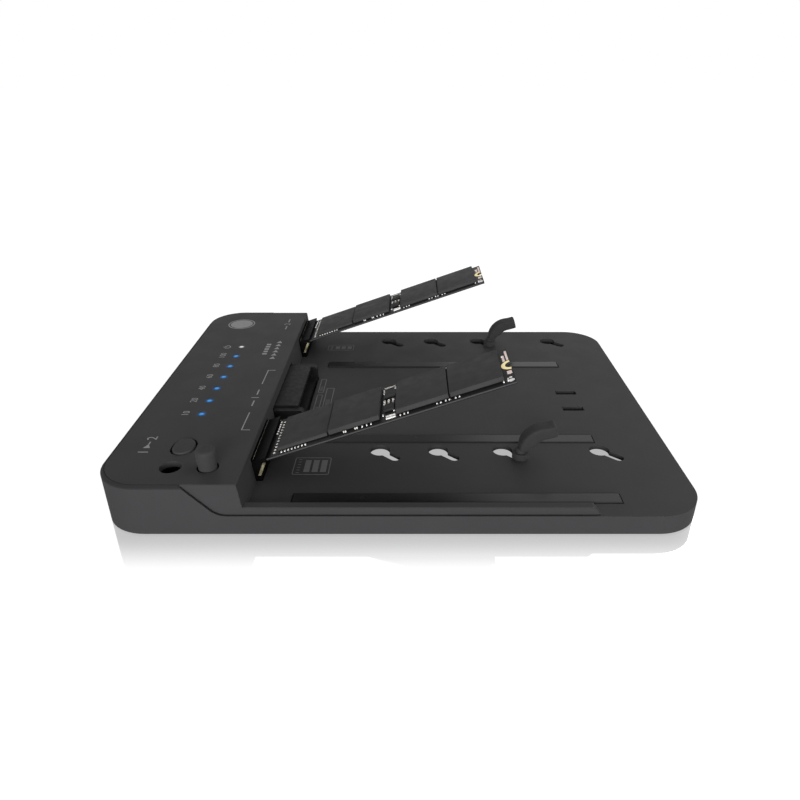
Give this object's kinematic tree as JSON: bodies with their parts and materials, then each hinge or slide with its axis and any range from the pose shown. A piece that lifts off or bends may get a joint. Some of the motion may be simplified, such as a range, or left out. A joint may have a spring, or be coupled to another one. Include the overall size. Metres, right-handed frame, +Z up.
{
  "type": "drive duplicator",
  "caption": "Flat docking station with a raised control block, two sprung card slots, a drive connector, keyholed deck and rubber retaining tabs.",
  "frame": {"origin": "middle of the footprint, on the surface that the rubber feet stand on", "axes": "+X along the case from the control block to the open deck, +Y to the back, +Z up"},
  "size_m": [0.165, 0.133, 0.0378],
  "materials": {
    "black_shell": "fine matt moulded plastic",
    "deck_pad": "smooth glossy strip",
    "rubber_black": "matt soft rubber",
    "connector_black": "moulded connector plastic",
    "contact_gold": "gold plated",
    "board_green": "solder mask",
    "board_black": "black solder mask",
    "chip_black": "moulded chip package",
    "part_grey": "ceramic parts with tinned ends",
    "steel": "plated steel",
    "light_clear": "clear light guide",
    "lamp_white": "lamp body",
    "can_silver": "bare can"
  },
  "bodies": {
    "housing": {"bottom_case": "black_shell", "top_cover": "black_shell", "front_drive_pad": "deck_pad", "middle_drive_pad": "deck_pad", "rear_drive_pad": "deck_pad", "storage_cups": "black_shell", "tactile_switch": "connector_black", "progress_light_pipes": "light_clear", "power_light_pipe": "light_clear", "status_lamps": "lamp_white", "main_board": "board_green", "bridge_chips": "chip_black", "power_coils": "chip_black", "capacitors": "can_silver", "sata_connector": "connector_black", "sata_contacts": "contact_gold", "usb_port": "steel", "power_jack": "connector_black", "power_switch": "connector_black", "source_socket": "connector_black", "source_socket_nails": "contact_gold", "target_socket": "connector_black", "target_socket_nails": "contact_gold", "rubber_feet": "rubber_black", "case_screws": "steel", "board_screws": "steel"},
    "clone_button": {"clone_button": "black_shell", "switch_plunger": "connector_black"},
    "power_switch_knob": {"power_switch_knob": "connector_black"},
    "source_card": {"source_card_board": "board_black", "source_card_fingers": "contact_gold", "source_card_chips": "chip_black", "source_card_parts": "part_grey"},
    "target_card": {"target_card_board": "board_black", "target_card_fingers": "contact_gold", "target_card_chips": "chip_black", "target_card_parts": "part_grey"},
    "source_retaining_tab": {"source_retaining_tab": "rubber_black"},
    "target_retaining_tab": {"target_retaining_tab": "rubber_black"},
    "spare_retaining_tab": {"spare_retaining_tab": "rubber_black"}
  },
  "joints": [
    {"name": "source_card_hinge", "type": "hinge", "parent": "housing", "child": "source_card", "pos_m": [-0.04465, -0.0376, 0.0106], "axis": [0, 1, 0], "range_deg": [0, 20.4], "stiffness_Nm_per_rad": 0.03, "springref_deg": -28.65},
    {"name": "target_card_hinge", "type": "hinge", "parent": "housing", "child": "target_card", "pos_m": [-0.04465, 0.0512, 0.0106], "axis": [0, 1, 0], "range_deg": [0, 20.4], "stiffness_Nm_per_rad": 0.03, "springref_deg": -28.65},
    {"name": "source_retaining_tab_slide", "type": "slide", "parent": "housing", "child": "source_retaining_tab", "axis": [0.7372, -0.6757, 0], "range_m": [-0.0065, 0]},
    {"name": "target_retaining_tab_slide", "type": "slide", "parent": "housing", "child": "target_retaining_tab", "axis": [0.7372, -0.6757, 0], "range_m": [-0.0065, 0]},
    {"name": "spare_retaining_tab_pull", "type": "slide", "parent": "housing", "child": "spare_retaining_tab", "axis": [0, 0, 1], "range_m": [0, 0.0075]},
    {"name": "clone_button_press", "type": "slide", "parent": "housing", "child": "clone_button", "axis": [0, 0, -1], "range_m": [0, 0.0006], "stiffness_N_per_m": 400, "springref_m": -0.0005},
    {"name": "power_switch_slide", "type": "slide", "parent": "housing", "child": "power_switch_knob", "axis": [0, 1, 0], "range_m": [0, 0.003]}
  ]
}
